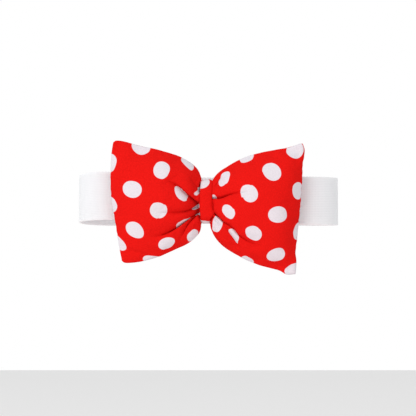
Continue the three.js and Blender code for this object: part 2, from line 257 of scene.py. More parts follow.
# Outlines run from the knot outwards, and the outer edge from the upper corner to the lower one.
# The cloth stands "mouth" proud of the seams at the knot's edge, and reaches its full height over "rise".
# A higher "roll" keeps that height further out, with a rounder outer edge.
# Each fold runs outwards from the knot. Its depth is given along it, its width on its upper and its lower
# side, how far the cloth of one side hangs over it (the upper side's when positive), how far the cloth goes
# in under it ("step"), and the length of cloth that it hides at the knot.
# Dots are listed by column and row of the print, with the place where each lies. A fraction is a place
# between two dots' centres, mostly the edge of a dot.
LEFT = {
    "side": -1,
    "top": [
        (-2.2, 8.2), (-2.6, 12.2), (-4.2, 16.3), (-7.3, 19.5), (-12.9, 22.8), (-23.6, 26.1),
        (-33.8, 28.4), (-43.3, 30.8), (-46.3, 30.9), (-47.5, 30.0),
    ],
    "bottom": [
        (-2.2, -8.2), (-2.5, -11), (-3.2, -15), (-5.3, -17.9), (-9.3, -21.2), (-16, -24.5),
        (-23.6, -27.8), (-31.3, -30.1), (-38.6, -31.2), (-41.8, -31.1), (-43.1, -30.2),
    ],
    "outer": [
        (-47.5, 30.0), (-48.3, 25), (-48.8, 15), (-48.7, 6), (-48.2, -0.5), (-46.9, -8), (-45.4, -17),
        (-43.9, -26), (-43.1, -30.2),
    ],
    "mouth": 4.2,
    "rise": 11,
    "roll": 2.7,
    "folds": [
        {
            "line": [(-2.4, 5.4), (-3.9, 7.0), (-6.0, 9.6), (-8.6, 12.6)],
            "depth": [2.4, 2.0, 1.1, 0],
            "upper": 1.8, "lower": 1.4, "over": 0.6, "hides": 2.0,
        },
        {
            "line": [
                (-2.4, -1.0), (-5.3, 0.8), (-8.1, 2.7), (-10.9, 4.7), (-13.8, 7.3), (-17.2, 9.2),
                (-21, 10),
            ],
            "depth": [4.2, 4.8, 4.6, 3.8, 2.8, 1.6, 0],
            "upper": 2.1, "lower": 2.7, "over": 1.2, "step": 1.2, "hides": 4.5,
        },
        {
            "line": [
                (-2.4, -1.4), (-4.2, -2.0), (-6.8, -3.5), (-10.6, -5.1), (-15, -5.8), (-20, -6.1),
                (-25, -6.3),
            ],
            "depth": [3.4, 3.6, 3.6, 2.8, 2.0, 1.2, 0],
            "upper": 2.7, "lower": 1.4, "over": 0.6, "step": 0.4, "hides": 3.0,
        },
        {
            "line": [
                (-2.4, -4.4), (-4.4, -6.4), (-8.1, -9.2), (-14.0, -13.6), (-21.0, -17.0),
                (-28.5, -18.3),
            ],
            "depth": [4.0, 4.6, 4.8, 3.6, 2.0, 0],
            "upper": 1.9, "lower": 1.4, "over": -1.4, "step": 1.2, "hides": 6.5,
        },
        {
            "line": [(-2.4, -6.2), (-4.8, -8.9), (-7.6, -11.8), (-9.8, -14.5), (-13.9, -20.4)],
            "depth": [3.6, 3.8, 3.2, 2.0, 0],
            "upper": 1.5, "lower": 1.3, "over": -0.8, "step": 0.5, "hides": 4.5,
        },
    ],
    "dots": {
        (-2, 1): (-22.4, 15.3), (-2, 1.21): (-22.0, 19.5), (-2, 0.79): (-22.9, 11.0),
        (-2, 0): (-24.0, -5.1), (-2, 0.21): (-24.0, -1.1), (-2, -0.21): (-23.8, -8.9),
        (-2, -1): (-20.4, -22.1), (-3, 0.79): (-33.3, 23.8), (-3, 0): (-37.4, 5.8),
        (-3, 0.21): (-37.6, 9.9), (-3.34, 0): (-42.2, 6.0), (-3, -1): (-36.2, -14.4),
        (-3.34, -1): (-40.7, -14.0), (-3, -0.79): (-36.6, -10.4), (-3, -1.79): (-29.0, -27.4),
        (-3.66, 1): (-45.3, 19.1), (-3.66, 0): (-45.5, -2.0), (-4, -1): (-44.8, -20.8),
        (-1, 1): (-9.4, 19.8), (-0.66, 1): (-6.9, 17.6), (-1, 0.79): (-9.2, 16.6),
        (-1, 0): (-12.8, 4.1), (-1.34, 0): (-15.4, 4.6), (-1, -0.21): (-12.3, 0.5),
        (-1, 0.21): (-14.0, 7.0), (-1, -1): (-12.2, -12.2), (-1, -0.79): (-11.4, -9.3),
        (-0.76, -0.85): (-9.6, -9.4), (-1, -2): (-7.3, -18.6), (-1, -1.79): (-6.9, -15.2),
        (-1.34, -2): (-9.3, -19.4), (-0.66, -2): (-4.6, -16.6), (-0.33, 1): (-3.8, 6.6),
        (0, 0): (-5.6, -3.2), (-0.33, -1): (-4.6, -7.2),
    },
}

RIGHT = {
    "side": 1,
    "top": [
        (2.4, 9.2), (3.2, 11.0), (4.7, 13.4), (7.4, 16.0), (10.4, 17.9), (15.0, 20.5), (20.3, 22.8),
        (27.4, 24.8), (35, 26.3), (41.2, 27.4), (45.3, 28.6), (48, 29.5), (49.2, 29.4),
    ],
    "bottom": [
        (2.0, -8.4), (1.9, -10.8), (2.6, -14.2), (4.6, -18.2), (8, -22.2), (13.6, -26), (19.7, -29.4),
        (25.9, -32.0), (32.5, -33.9), (37.6, -35.4), (41.2, -37.2), (45.6, -36.9),
    ],
    "outer": [
        (49.2, 29.4), (50.1, 26.5), (49.9, 23), (49.2, 19.5), (49.0, 12), (48.3, 0.8), (47.3, -9.4),
        (46.3, -19.6), (45.6, -25.8), (46, -31), (45.6, -36.9),
    ],
    "mouth": 6.6,
    "rise": 14,
    "roll": 8,
    "folds": [
        {
            "line": [(3.9, 7.3), (5.4, 9.4), (6.6, 11.0), (8.2, 12.8)],
            "depth": [0.6, 1.8, 1.6, 0],
            "upper": 1.0, "lower": 0.9, "over": 0.7, "hides": 2.6,
        },
        {
            "line": [(2.4, 1.1), (4.6, 1.0), (7.4, 1.0), (11.5, 2.6), (17.1, 3.9), (21.5, 4.0)],
            "depth": [4.6, 4.4, 3.2, 1.8, 0.9, 0],
            "upper": 1.2, "lower": 0.9, "over": -0.9, "step": 0.6, "hides": 6.5,
        },
        {
            "line": [
                (2.4, -4.4), (5.1, -6.7), (9.0, -10.6), (11.6, -12.2), (14.0, -14.2), (16.0, -16.7),
                (21.5, -20.4), (28.5, -23.4),
            ],
            "depth": [4.4, 4.6, 3.8, 2.3, 2.2, 2.4, 1.9, 1.0, 0],
            "upper": 0.8, "lower": 0.6, "over": 0.5, "step": 0.9, "hides": 6.0,
        },
        {
            "line": [(9.0, -11.4), (10.3, -13.6), (12.6, -16.9), (15.1, -20.2), (17.7, -24.4)],
            "depth": [0.4, 1.4, 1.8, 1.8, 0],
            "upper": 0.25, "lower": 1.1, "over": 0, "hides": 4.6,
        },
        {
            "line": [(2.9, 1.6), (3.4, -1.5), (3.9, -4.2), (5.2, -6.8)],
            "depth": [1.2, 2.8, 3.0, 1.5],
            "upper": 0.5, "lower": 0.5, "over": 0, "hides": 0,
        },
        {
            "line": [(2.6, -7.2), (5.7, -10.5), (7.3, -15), (8.6, -20)],
            "depth": [2.2, 1.6, 0.9, 0],
            "upper": 1.3, "lower": 1.3, "over": 0, "hides": 0.8,
        },
    ],
    "dots": {
        (3, 0): (33.1, 14.3), (3.34, 0): (37.8, 14.2), (2.66, 0): (28.3, 14.5), (3, -1): (36.0, -7.3),
        (3, -0.79): (35.8, -3.2), (3, -1.21): (36.4, -11.2), (3, -2): (35.7, -27.6),
        (4, 1): (45.4, 26.0), (3.66, 0): (43.9, 4.7), (3.66, -1): (44.3, -15.8),
        (3.66, -2): (40.1, -34.6), (2, 1): (20.3, 23.1), (2, 0): (21.6, 3.2), (1.66, 0): (17.5, 3.8),
        (2, -0.21): (21.7, -0.9), (2, -1): (23.8, -16.4), (2, -0.79): (23.5, -12.7),
        (1.66, -1): (19.8, -16.1), (2, -1.21): (24.1, -20.0), (2.34, -1): (27.7, -16.6),
        (2, -1.79): (21.2, -28.0), (1, 0): (9.1, 10.9), (0.66, 0): (6.8, 11.2),
        (1.34, 0): (12.0, 11.8), (1, 0.21): (10.3, 14.8), (1, -0.21): (8.0, 7.1),
        (1, -1): (11.4, -6.0), (0.76, -1.15): (9.6, -7.0), (1.24, -0.85): (13.0, -3.4),
        (0.76, -0.85): (8.8, -3.2), (1.24, -1.15): (13.4, -9.4), (1, -2): (13.2, -15.8),
        (0, -1): (5.9, -11.4), (0, -1.2): (6.2, -15.6), (0, -0.8): (5.4, -7.6), (0, 0): (3.8, 1.1),
    },
}


def plan(wing, u, v):
    """The places in x and z of a grid over the wing: u from the knot outwards, v from bottom to top."""
    top = smooth_curve(wing["top"], u)[:, None]
    bottom = smooth_curve(wing["bottom"], u)[:, None]
    outer = smooth_curve(wing["outer"], 1 - v)[None]
    mouth = bottom[0] + (top[0] - bottom[0]) * v[:, None]
    a, b = u[:, None, None], v[None, :, None]
    ruled = bottom * (1 - b) + top * b + mouth[None] * (1 - a) + outer * a
    corners = (bottom[0] * (1 - b) + top[0] * b) * (1 - a) + (bottom[-1] * (1 - b) + top[-1] * b) * a
    places = ruled - corners
    places[..., 0] += puckers(places[..., 1], a[..., 0], b[..., 0])
    return places


def puckers(height, out, up):
    """How far the stitches draw in the outer edge: only close to it, and least at its corners."""
    sway = PUCKER_SWAY * np.sin(height / PUCKER_DRIFT)
    wave = PUCKER * np.sin(height * 2 * math.pi / PUCKER_PITCH + sway)
    near_edge = np.exp(-(1 - out) * PUCKER_FADE) * 4 * up * (1 - up)
    return wave * near_edge


def beside(line, places):
    """How each place lies from the nearest point of a line.

    Returns the share along the line, the distances across it and past its ends, and its upward direction.
    """
    start, step = line[:-1], np.diff(line, axis=0)
    size = (step**2).sum(-1)
    part = np.clip(((places[:, None] - start) * step).sum(-1) / size, 0, 1)
    gap = places[:, None] - start - part[..., None] * step
    nearest = np.argmin((gap**2).sum(-1), axis=1)
    each = np.arange(len(places))
    gap = gap[each, nearest]
    share = (nearest + part[each, nearest]) / len(step)
    direction = (step / np.sqrt(size)[:, None])[nearest]
    up = np.stack([-direction[:, 1], direction[:, 0]], -1)
    up *= np.sign(up[:, 1:])
    across = (gap * up).sum(-1)
    at_end = (share <= 0) | (share >= 1)
    past = np.where(at_end, np.abs((gap * direction).sum(-1)), 0)
    across = np.where(at_end, across, np.sign(across) * np.linalg.norm(gap, axis=1))
    return share, across, past, up


def fold_effect(fold, xz):
    """How deep the fold is at each place, how far the cloth is pushed over it, and the cloth it hides."""
    line = smooth_curve(fold["line"], np.linspace(0, 1, 40))
    share, across, past, up = beside(line, xz.reshape(-1, 2))
    knots = np.linspace(0, 1, len(fold["depth"]))
    depth = np.interp(share, knots, fold["depth"]) * np.exp(-past / FOLD_END)
    strength = depth / max(fold["depth"])
    away = np.abs(across) / np.where(across > 0, fold["upper"], fold["lower"])
    hill = away * np.exp(1 - away)
    over = fold["over"]
    hanging = across * over > 0
    step = np.where(hanging, 0, fold.get("step", 0) * strength * np.exp(-np.abs(across) / STEP_REACH))
    swell = np.where(hanging, *FOLD_SWELLS)
    drop = depth * (np.exp(-away) - swell * hill) + step
    push = np.where(hanging, -over * strength * hill, 0)
    half = fold["hides"] * strength**2 * np.tanh(across / FOLD_TURN) / 2
    hidden = half * np.exp(-np.abs(across) / FOLD_REACH)
    pushed, hides = ((amount[:, None] * up).reshape(xz.shape) for amount in (push, hidden))
    return drop.reshape(xz.shape[:-1]), pushed, hides


def seam_depth(x, z):
    """Where the seams' surface lies in y: at the waist its middle, and further out in front of that."""
    return smooth((np.abs(x) - SEAM_START) / SEAM_REACH) * -(SEAM_FORWARD + LEAN * z)


def edge_distance(u, v, xz):
    """Roughly how far each place is from the nearest sewn edge."""
    height = np.linalg.norm(xz[:, -1] - xz[:, 0], axis=-1)[:, None]
    length = np.abs(xz[-1, len(v) // 2, 0])
    across = np.minimum(v, 1 - v)[None] * height
    return np.minimum(across, (1 - u)[:, None] * length)


def crown(wing, u, v, xz, full, mouth):
    """How far the stuffed cloth stands off the seam's surface."""
    out = np.abs(xz[..., 0]) - np.abs(xz[0, 0, 0])
    rise = np.sin(np.clip(out / wing["rise"], 0, 1) * math.pi / 2)
    start = MOUTH_DEPTH + (mouth - MOUTH_DEPTH) * smooth(out / MOUTH_REACH)
    along = (start + (full - mouth) * rise) * (1 - u[:, None] ** wing["roll"])
    power = RIDGE_POWER + RIDGE_BROADENS * smooth(out / WAIST_REACH)
    level = 2 * v - 1
    fall = np.abs(level) ** np.where(level < 0, FALL_BELOW, FALL_ABOVE)
    across = np.maximum(1 - fall[None], 0) ** power
    edge = np.minimum(edge_distance(u, v, xz) / LIP_REACH, 1)
    lip = LIP * np.sqrt(1 - (1 - edge) ** 2) * smooth(out / LIP_START)
    return along * across + lip


def front_surface(wing, u, v):
    """The front panel's outside, the same without folds, the cloth that folds hide, and the creases."""
    xz = plan(wing, u, v)
    x, z = xz[..., 0], xz[..., 1]
    edge = edge_distance(u, v, xz)
    plain = crown(wing, u, v, xz, FRONT_CROWN, wing["mouth"])
    plain = plain + WRINKLE * smooth(edge / WRINKLE_CLEAR) * ripple(x, z, 17, 3 + wing["side"])
    drops, hidden, push = 0, 0, 0
    for fold in wing["folds"]:
        drop, pushed, hides = fold_effect(fold, xz)
        drops = drops + drop * smooth(edge / FOLD_CLEAR)
        push = push + pushed * smooth(edge / FOLD_CLEAR)[..., None]
        hidden = hidden + hides
    seam = seam_depth(x, z)
    shape = np.maximum(plain - drops, np.minimum(plain, FOLD_FLOOR))
    moved = xz + push
    folded = np.stack([moved[..., 0], seam - shape, moved[..., 1]], -1)
    unfolded = np.stack([x, seam - plain, z], -1)
    return folded, unfolded, hidden, smooth(drops / CREASED)


def back_surface(wing, u, v):
    """The back panel's outside, with gathers that spread out from the waist."""
    xz = plan(wing, u, v)
    x, z = xz[..., 0], xz[..., 1]
    height = crown(wing | BACK, u, v, xz, BACK_CROWN, MOUTH_DEPTH)
    radial = np.arctan2(z, np.abs(x))
    wave = np.sin(radial * GATHER_COUNT + 2 * wing["side"])
    gathers = GATHER * wave * np.exp(-np.abs(x) / GATHER_REACH)
    wrinkles = BACK_WRINKLE * ripple(x, z, 14, 9 + wing["side"])
    height = height + smooth(edge_distance(u, v, xz) / WRINKLE_CLEAR) * (gathers + wrinkles)
    return np.stack([x, seam_depth(x, z) + height, z], -1)


# ------------------------------------------------------------------ the print


def arc_coordinates(points):
    """Coordinates along the cloth: x and z, plus the length that the surface gains by sloping."""
    flat = points[..., [0, 2]]

    def gain(axis):
        along, level = (np.linalg.norm(np.diff(places, axis=axis), axis=-1) for places in (points, flat))
        return along - level

    gain_out = np.pad(np.cumsum(gain(0), axis=0), ((1, 0), (0, 0)))
    gain_up = np.pad(np.cumsum(gain(1), axis=1), ((0, 0), (1, 0)))
    gain_out = gain_out - gain_out[gain_out.shape[0] * 6 // 10][None]
    gain_up = gain_up - gain_up[:, gain_up.shape[1] // 2][:, None]
    side = np.sign(flat[-1, 0, 0])
    return flat + np.stack([side * gain_out, gain_up], -1)


def lattice(column, row):
    """The print's coordinates of a dot; every second column is half a row higher."""
    return (column * DOT_COLUMN, (row + (round(column) % 2) / 2) * DOT_ROW)


def bend(distance):
    """The shape that a thin plate takes round a point that holds it, at this distance from the point."""
    return distance**2 * np.log(np.maximum(distance, 1e-9))


def draped(dots, places, hidden):
    """The print's coordinates at each place: a smooth mapping that puts the listed dots where they lie."""
    shape = hidden.shape
    centres = np.array(list(dots.values()))
    wanted = np.array([lattice(*key) for key in dots])
    flat = places["plan"].reshape(-1, 2)
    at = [np.argmin(((flat - centre) ** 2).sum(-1)) for centre in centres]
    coordinates = places["cloth"].reshape(-1, 2)
    hidden = hidden.reshape(-1, 2)
    source = coordinates[at]
    target = wanted - hidden[at]
    count = len(source)
    spread = np.linalg.norm(source[:, None] - source[None], axis=-1)
    linear = np.hstack([np.ones((count, 1)), source])
    system = np.zeros((count + 3, count + 3))
    system[:count, :count] = bend(spread) + np.eye(count) * PRINT_STIFF
    system[:count, count:] = linear
    system[count:, :count] = linear.T
    weights = np.linalg.solve(system, np.vstack([target, np.zeros((3, 2))]))
    far = np.linalg.norm(coordinates[:, None] - source[None], axis=-1)
    level = np.hstack([np.ones((len(flat), 1)), coordinates])
    mapped = bend(far) @ weights[:count] + level @ weights[count:]
    return (mapped + hidden).reshape(shape)


# ------------------------------------------------------------------ stuffing, by cloth simulation


def spline_weights(places, count):
    """For each place along a row of points, how much each point counts in a smooth curve past them."""
    gap = np.abs(places[:, None] - np.arange(count))
    near = 2 / 3 - gap**2 + gap**3 / 2
    weights = np.where(gap < 1, near, np.where(gap < 2, (2 - gap) ** 3 / 6, 0))
    return weights / weights.sum(axis=1, keepdims=True)


def inflated(cloth, held, flip):
    """Where a grid of cloth goes when the filling presses on it, by cloth simulation."""
    rows, columns = held.shape
    index = np.arange(rows * columns).reshape(rows, columns)
    quads = np.stack([index[:-1, :-1], index[1:, :-1], index[1:, 1:], index[:-1, 1:]], -1).reshape(-1, 4)
    if flip:
        quads = quads[:, ::-1]
    sheet = new_object("stuffing", cloth.reshape(-1, 3) * STUFF_SCALE, quads.tolist())
    pins = sheet.vertex_groups.new(name="pins")
    for vertex, weight in enumerate(held.ravel()):
        pins.add([vertex], float(weight), "REPLACE")
    settings = sheet.modifiers.new("cloth", "CLOTH").settings
    settings.vertex_group_mass = "pins"
    settings.effector_weights.gravity = 0
    for key, value in STUFF_SETTINGS.items():
        setattr(settings, key, value)
    for step in range(1, STUFF_STEPS + 1):
        bpy.context.scene.frame_set(step)
    result = sheet.evaluated_get(bpy.context.evaluated_depsgraph_get()).to_mesh()
    after = np.zeros(rows * columns * 3)
    result.vertices.foreach_get("co", after)
    bpy.context.scene.frame_set(1)
    bpy.data.objects.remove(sheet)
    return after.reshape(rows, columns, 3) / (MM * STUFF_SCALE)


def stuffed(outside, held, inward):
    """The cloth pushed out by its filling: a coarse copy is simulated, and its shift is carried over."""
    rows, columns = STUFF_GRID
    sizes = zip(outside.shape, STUFF_GRID)
    picks = np.ix_(*(np.linspace(0, size - 1, count).round().astype(int) for size, count in sizes))
    coarse = outside[picks]
    border = np.ones(STUFF_GRID)
    border[1:-1, 1:-1] = held[picks][1:-1, 1:-1]
    shift = inflated(coarse, border, (outside[-1, 0, 0] < 0) != (inward < 0)) - coarse
    length = np.linalg.norm(shift, axis=-1, keepdims=True)
    shift *= np.tanh(length / STUFF_CAP) * STUFF_CAP / np.maximum(length, 1e-9)
    shift *= (1 - border)[..., None]
    out = spline_weights(np.linspace(0, rows - 1, outside.shape[0]), rows)
    up = spline_weights(np.linspace(0, columns - 1, outside.shape[1]), columns)
    return outside + np.einsum("ri,ijk,cj->rck", out, shift, up)


# ------------------------------------------------------------------ panels


def panel(name, outside, seam, inward, cloth):
    """A thin shell of cloth whose inside, 1 or -1 "inward" in y, stops at the seam's surface."""
    limit = seam - inward * EDGE_GAP
    stop = np.minimum if inward > 0 else np.maximum
    inside = outside.copy()
    inside[..., 1] = stop(outside[..., 1] + CLOTH * inward, limit)
    outside = outside - np.array([0, 2 * EDGE_GAP * inward, 0])
    rows, columns = outside.shape[:2]
    points = np.concatenate([outside.reshape(-1, 3), inside.reshape(-1, 3)]) + WAIST
    coordinates = np.concatenate([cloth.reshape(-1, 2)] * 2)
    flip = (outside[-1, 0, 0] < 0) != (inward < 0)
    return new_object(name, points, shell_faces(rows, columns, flip), coordinates)


def spread_steps(count):
    """Steps from 0 to 1 that are closer together at the start."""
    t = np.linspace(0, 1, count)
    return t * (1 - CROWDING) + CROWDING * t * t


def front_panel(wing, name):
    u = spread_steps(FRONT_GRID[0])
    v = np.linspace(0, 1, FRONT_GRID[1])
    folded, unfolded, hidden, creased = front_surface(wing, u, v)
    places = {"plan": unfolded[..., [0, 2]], "cloth": arc_coordinates(unfolded)}
    cloth = draped(wing["dots"], places, hidden)
    seam = seam_depth(unfolded[..., 0], unfolded[..., 2])
    return panel(f"{name}_front_panel", stuffed(folded, creased, 1), seam, 1, cloth)


def back_panel(wing, name):
    u = spread_steps(BACK_GRID[0])
    v = np.linspace(0, 1, BACK_GRID[1])
    outside = back_surface(wing, u, v)
    cloth = arc_coordinates(outside) + np.array(BACK_PRINT)
    near_waist = np.broadcast_to(1 - smooth(u / HELD_SHARE)[:, None], outside.shape[:2])
    seam = seam_depth(outside[..., 0], outside[..., 2])
    return panel(f"{name}_back_panel", stuffed(outside, near_waist, -1), seam, -1, cloth)


def filling(wing, name):
    """Loose fibre, a little clear of the cloth all round, with a lumpy surface."""
    u, v = (np.linspace(0, 1, count) for count in FILLING_GRID)
    within = (slice(7, -5), slice(5, -5))  # short of the knot and of the seams
    folded = front_surface(wing, u, v)[0][within]
    back = back_surface(wing, u, v)[within]
    centre = (folded + back) / 2
    half = (back[..., 1] - folded[..., 1]) / 2
    lumps = FIBRE_LUMP * ripple(folded[..., 0], folded[..., 2], 5, 21) - FIBRE_CLEAR
    thick = np.maximum(half + lumps, FIBRE_THINNEST)
    offset = np.stack([np.zeros_like(thick), thick, np.zeros_like(thick)], -1)
    points = np.concatenate([(centre - offset).reshape(-1, 3), (centre + offset).reshape(-1, 3)]) + WAIST
    return new_object(f"{name}_filling_fibre", points, shell_faces(*thick.shape, wing["side"] < 0))


# ------------------------------------------------------------------ knot wrap


def rounded_ring(half_depth, half_height, corner, count):
    """Places in y and z round a rounded rectangle, from the middle of its back, and how far on they lie."""
    d, h = half_depth - corner, half_height - corner
    turn = np.linspace(0, math.pi / 2, 12)
    arcs = []
    for quarter, (cy, cz) in enumerate(((d, h), (-d, h), (-d, -h), (d, -h))):
        angle = turn + quarter * math.pi / 2
        arcs.append(np.stack([cy + corner * np.cos(angle), cz + corner * np.sin(angle)], -1))
    ring = np.concatenate([[[half_depth, 0]], *arcs, [[half_depth, 0]]])
    length = np.concatenate([[0], np.cumsum(np.linalg.norm(np.diff(ring, axis=0), axis=1))])
    wanted = np.linspace(0, length[-1], count)
    return np.stack([np.interp(wanted, length, axis) for axis in ring.T], -1), wanted


def wrap_edges(y, z):
    """The wrap's left and right edges in x: listed on the front, straight on the back."""
    front = smooth(-y / 3)
    left = np.interp(z, WRAP_HEIGHTS, WRAP_LEFT) * front - WRAP_BACK_HALF * (1 - front)
    right = np.interp(z, WRAP_HEIGHTS, WRAP_RIGHT) * front + WRAP_BACK_HALF * (1 - front)
    return left, right


def knot_wrap():
    """One strip round the waist and the band; its edges are rolled, and it flares at its lower right."""
    around, across = 170, 28
    half_depth = (WRAP_HIGH[1] - WRAP_LOW[1]) / 2 - WRAP_SLIMMER
    half_height = (WRAP_HIGH[2] - WRAP_LOW[2]) / 2 - WRAP_SHORTER
    ring, length = rounded_ring(half_depth, half_height, WRAP_CORNER, around)
    centre = (WRAP_LOW[1] + WRAP_HIGH[1]) / 2 - WRAP_FORWARD
    tangent = np.gradient(ring, axis=0)
    out = np.stack([tangent[:, 1], -tangent[:, 0]], -1)
    out /= np.linalg.norm(out, axis=1)[:, None]
    angle = np.linspace(0, 2 * math.pi, 2 * across, endpoint=False)
    reach = np.sign(np.cos(angle)) * np.abs(np.cos(angle)) ** 0.45
    round_edges = np.sign(np.sin(angle)) * np.abs(np.sin(angle)) ** 0.8 * WRAP_THICK / 2
    points, cloth = [], []
    for (y, z), (out_y, out_z), along in zip(ring, out, length):
        left, right = wrap_edges(y, z)
        side = (left + right) / 2 + reach * (right - left) / 2
        level = round_edges + 0.1 * np.sin(along * 0.9 + side * 0.5) - WRAP_ROLL * np.abs(reach) ** 3
        raised = level - WRAP_THICK / 2
        points.append(np.stack([side, centre + y + out_y * raised, z + WRAP_UP + out_z * raised], -1))
        cloth.append(np.stack([side, np.full_like(side, along)], -1))
    side, along = np.concatenate(cloth).T
    upwards = length[-1] / 2 - along - WRAP_DOT[1]
    coordinates = np.stack([upwards, side - WRAP_DOT[0] + WRAP_SKEW * upwards], -1)
    return new_object("wrap", np.concatenate(points) + WAIST, closed_bar((around, 2 * across)), coordinates)


def waist_gathers():
    """Both panels pleated together, under the knot."""
    around, along = 220, 9
    ring, length = rounded_ring(GATHERS_DEPTH, GATHERS_HEIGHT, GATHERS_CORNER, around + 1)
    ring, length = ring[:-1], length[:-1]
    pleat = PLEAT * (1 + np.cos(length * 2 * math.pi * PLEATS / length[-1]))
    out = ring / np.linalg.norm(ring, axis=1)[:, None]
    pleated = ring - out * pleat[:, None]
    points, cloth = [], []
    for x in np.linspace(-GATHERS_HALF, GATHERS_HALF, along):
        full = 1 + 0.05 * (x / GATHERS_HALF) ** 2
        points.append(np.stack([np.full(around, x), pleated[:, 0] * full, pleated[:, 1] * full], -1))
        cloth.append(np.stack([np.full(around, x), length * 1.6], -1))
    faces = closed_bar((along, around))
    return new_object("gathers", np.concatenate(points) + WAIST, faces, np.concatenate(cloth))


# ------------------------------------------------------------------ elastic band


def band_route():
    """Places in plan along the middle of the elastic, once round the loop, and how far along they lie."""
    back = LOOP_DEPTH / 2
    turn = np.linspace(math.pi / 2, -math.pi / 2, 60)
    right = np.stack([RUN_HALF + back * np.cos(turn), back * np.sin(turn)], -1)
    left = np.stack([-RUN_HALF - back * np.cos(-turn), back * np.sin(-turn)], -1)
    lap_x = np.linspace(LAP_START, LAP_END, 16)
    lap = np.stack([lap_x, back + (LAP_Y - back) * smooth((lap_x - LAP_START) / (LAP_END - LAP_START))], -1)
    route = np.concatenate([[[-JOIN_HALF, back]], right, left, lap, [[JOIN_HALF, LAP_Y]]])
    length = np.concatenate([[0], np.cumsum(np.linalg.norm(np.diff(route, axis=0), axis=1))])
    wanted = np.linspace(0, length[-1], 620)
    return np.stack([np.interp(wanted, length, axis) for axis in route.T], -1), wanted


def band_height(x, y):
    """The middle of the band's height and the share of the knot's pinch that it has."""
    towards_front = np.clip((LOOP_DEPTH / 2 - y) / LOOP_DEPTH, 0, 1)
    from_knot = x - WAIST[0]
    away = np.maximum(np.abs(from_knot) - PINCH_HALF, 0)
    slope = -np.sign(from_knot) * FRONT_RISE * np.minimum(away / (RUN_HALF - PINCH_HALF), 1)
    arch = BACK_ARCH * np.maximum(1 - (x / RUN_HALF) ** 2, 0)
    pinch = np.where(y < -LOOP_DEPTH / 2 + 0.05, 1 - smooth(away / (PINCH_END - PINCH_HALF)), 0)
    return slope * towards_front + arch * (1 - towards_front) + WAIST[2] * pinch, pinch


def elastic_band():
    """One ribbed strip along the route, pinched and arched at the knot."""
    route, length = band_route()
    tangent = np.gradient(route, axis=0)
    tangent /= np.linalg.norm(tangent, axis=1)[:, None]
    across = np.stack([tangent[:, 1], -tangent[:, 0]], -1)
    centre, pinch = band_height(route[:, 0], route[:, 1])
    rows, ribs, scallop_pitch = 40, 10, 1.6
    edge = 0.035  # the round edges' share of the half width
    half = np.linspace(-1, 1, rows)
    turn = np.linspace(0, math.pi, 6)[1:-1]
    edge_u, edge_level = 1 + edge * np.sin(turn), np.cos(turn)
    share = np.concatenate([half, edge_u, half[::-1], -edge_u])
    level = np.concatenate([np.ones(rows), edge_level, -np.ones(rows), -edge_level])
    rib = BAND_RIB * np.cos(share * 2 * math.pi * ribs) * np.abs(level)
    height = BAND_WIDTH / (1 + edge) * (1 - pinch) + PINCH_HEIGHT * pinch
    scallop = BAND_SCALLOP * np.sin(length * 2 * math.pi / scallop_pitch)
    z = centre[:, None] + (height / 2 + scallop)[:, None] * share[None]
    curl = PINCH_DEPTH * pinch[:, None] * np.abs(np.sin(math.pi * (np.clip(share, -1, 1) + 1)))[None]
    off = (level * (BAND_THICK / 2 - 0.05) + rib * np.sign(level))[None]
    x = route[:, :1] + across[:, :1] * off
    y = route[:, 1:] + across[:, 1:] * off + curl
    points = np.stack([x, y, z], -1).reshape(-1, 3)
    along = np.broadcast_to(length[:, None], z.shape)
    height_on_cloth = np.broadcast_to(share[None] * BAND_WIDTH / 2, z.shape)
    cloth = np.stack([along, height_on_cloth], -1).reshape(-1, 2)
    return new_object("elastic", points, closed_bar(z.shape), cloth)


# ------------------------------------------------------------------ materials


class Nodes:
    """Short names for building a material's nodes."""

    def __init__(self, name):
        self.material = bpy.data.materials.new(name)
        self.material.use_nodes = True
        self.tree = self.material.node_tree
        self.shader = self.tree.nodes["Principled BSDF"]

    def node(self, kind, inputs=(), **settings):
        node = self.tree.nodes.new(kind)
        for key, value in settings.items():
            setattr(node, key, value)
        for key, value in dict(inputs).items():
            self.put(node.inputs[key], value)
        return node

    def put(self, socket, value):
        if isinstance(value, bpy.types.NodeSocket):
            self.tree.links.new(value, socket)
        else:
            socket.default_value = value

    def math(self, operation, *values):
        return self.node("ShaderNodeMath", enumerate(values), operation=operation).outputs[0]

    def noise(self, vector, scale, detail=2.0):
        inputs = {"Vector": vector, "Scale": scale, "Detail": detail}
        return self.node("ShaderNodeTexNoise", inputs).outputs["Fac"]

    def range(self, value, low, high, to_low=0.0, to_high=1.0):
        inputs = {"Value": value, "From Min": low, "From Max": high, "To Min": to_low, "To Max": to_high}
        return self.node("ShaderNodeMapRange", inputs, interpolation_type="SMOOTHSTEP").outputs["Result"]

    def mix(self, factor, a, b):
        node = self.node("ShaderNodeMix", data_type="RGBA")
        self.put(node.inputs["Factor"], factor)
        self.put(node.inputs[6], a)
        self.put(node.inputs[7], b)
        return node.outputs[2]

    def bump(self, height, distance, strength=1.0):
        inputs = {"Height": height, "Distance": distance, "Strength": strength}
        self.put(self.shader.inputs["Normal"], self.node("ShaderNodeBump", inputs).outputs["Normal"])

    def let_light_through(self, weight, distance):
        self.shader.inputs["Subsurface Weight"].default_value = weight
        self.shader.inputs["Subsurface Radius"].default_value = (1, 1, 1)
        self.shader.inputs["Subsurface Scale"].default_value = distance

    def finish(self, roughness, sheen, specular):
        self.shader.inputs["Roughness"].default_value = roughness
        self.shader.inputs["Sheen Weight"].default_value = sheen
        self.shader.inputs["Sheen Roughness"].default_value = 0.5
        self.shader.inputs["Specular IOR Level"].default_value = specular
        return self.material


